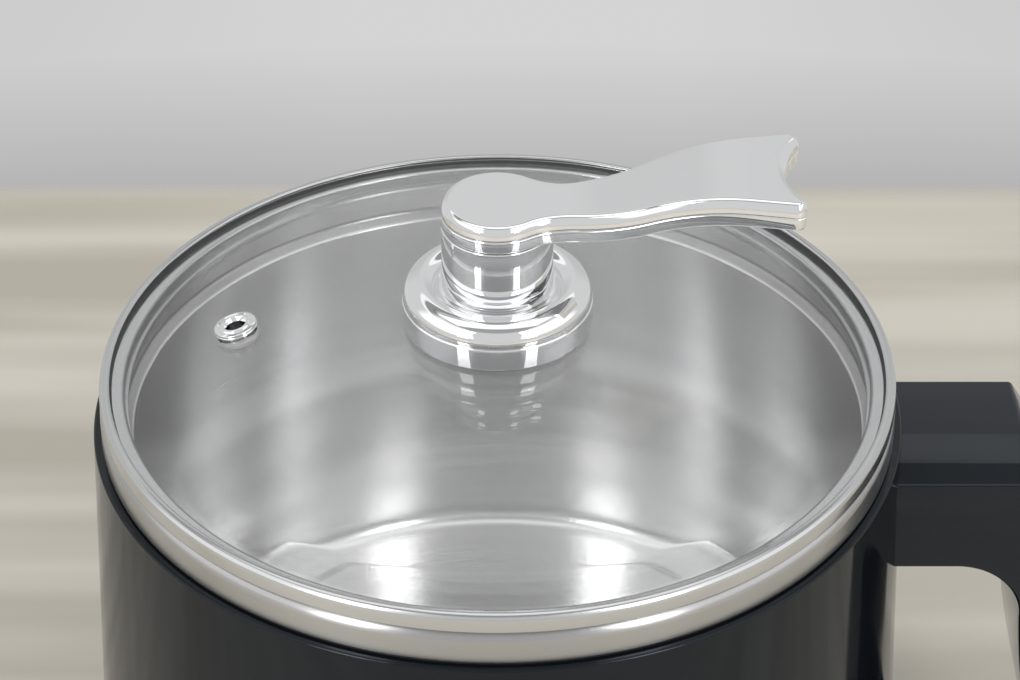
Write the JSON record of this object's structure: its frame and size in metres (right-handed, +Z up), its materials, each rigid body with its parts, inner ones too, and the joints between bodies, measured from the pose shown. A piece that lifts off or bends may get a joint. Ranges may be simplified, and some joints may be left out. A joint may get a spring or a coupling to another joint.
{
  "type": "electric hot pot with lid",
  "caption": "Round electric hot pot: deep steel pot in a tapered gloss shell with a loop handle, front dial and a lift-off domed glass lid with a chrome lever knob.",
  "frame": {"origin": "on the pot's axis, in the plane of the undersides of the feet", "axes": "+Z up along the pot's axis, +X out through the handle, -Y towards the front, where the dial is"},
  "size_m": [0.245, 0.2151, 0.1997],
  "materials": {
    "pot_steel": "brushed inside, satin outside",
    "shell": "high gloss, very dark blue grey",
    "silicone": "matt silicone",
    "feet": "matt rubber",
    "aluminium": "as cast",
    "element": "heat-tinted sheath",
    "zinc": "zinc plated",
    "base": "fine texture",
    "handle": "gloss",
    "cover": "gloss",
    "brass": "plain",
    "dial": "gloss",
    "plate": "brushed",
    "lens": "clear red",
    "glass": "clear",
    "ring": "polished",
    "chrome": "mirror",
    "ceramic": "unglazed ceramic"
  },
  "bodies": {
    "pot": {"outer_shell": "shell", "rim_gasket": "silicone", "inner_pot": "pot_steel", "weld_studs": "zinc", "stud_washers": "zinc", "stud_nuts": "zinc", "heating_plate": "aluminium", "heating_element": "element", "heat_shield": "zinc", "shield_screws": "zinc", "thermostat": "ceramic", "thermal_fuse": "ceramic", "fuse_clamp": "aluminium", "base_cover": "base", "base_screws": "zinc", "rubber_feet": "feet", "handle_frame": "handle", "handle_cover": "cover", "handle_screws": "zinc", "control_switch": "base", "switch_nut": "zinc", "dial_plate": "plate", "indicator_lens": "lens", "indicator_lamp": "glass", "inlet_socket": "base", "inlet_pins": "brass", "inlet_screws": "zinc", "terminal_block": "ceramic"},
    "dial": {"control_dial": "dial", "dial_shaft": "zinc"},
    "lid": {"lid_glass": "glass", "lid_ring": "ring", "vent_eyelet": "ring", "vent_grommet": "silicone", "knob_seal": "silicone", "knob_foot": "chrome", "knob_post": "chrome", "lid_seal": "silicone", "lid_washer": "zinc", "lid_screw": "zinc"},
    "lever": {"lever": "chrome", "pivot_washer": "zinc", "pivot_screw": "zinc"}
  },
  "joints": [
    {"name": "dial_turn", "type": "hinge", "parent": "pot", "child": "dial", "pos_m": [0, -0.098, 0.0275], "axis": [0, 1, 0], "range_deg": [0, 270]},
    {"name": "lid_lift", "type": "slide", "parent": "pot", "child": "lid", "axis": [0, 0, 1], "range_m": [0, 0.12]},
    {"name": "lever_swivel", "type": "hinge", "parent": "lid", "child": "lever", "pos_m": [0, 0, 0.185], "axis": [0, 0, 1], "continuous": true}
  ]
}
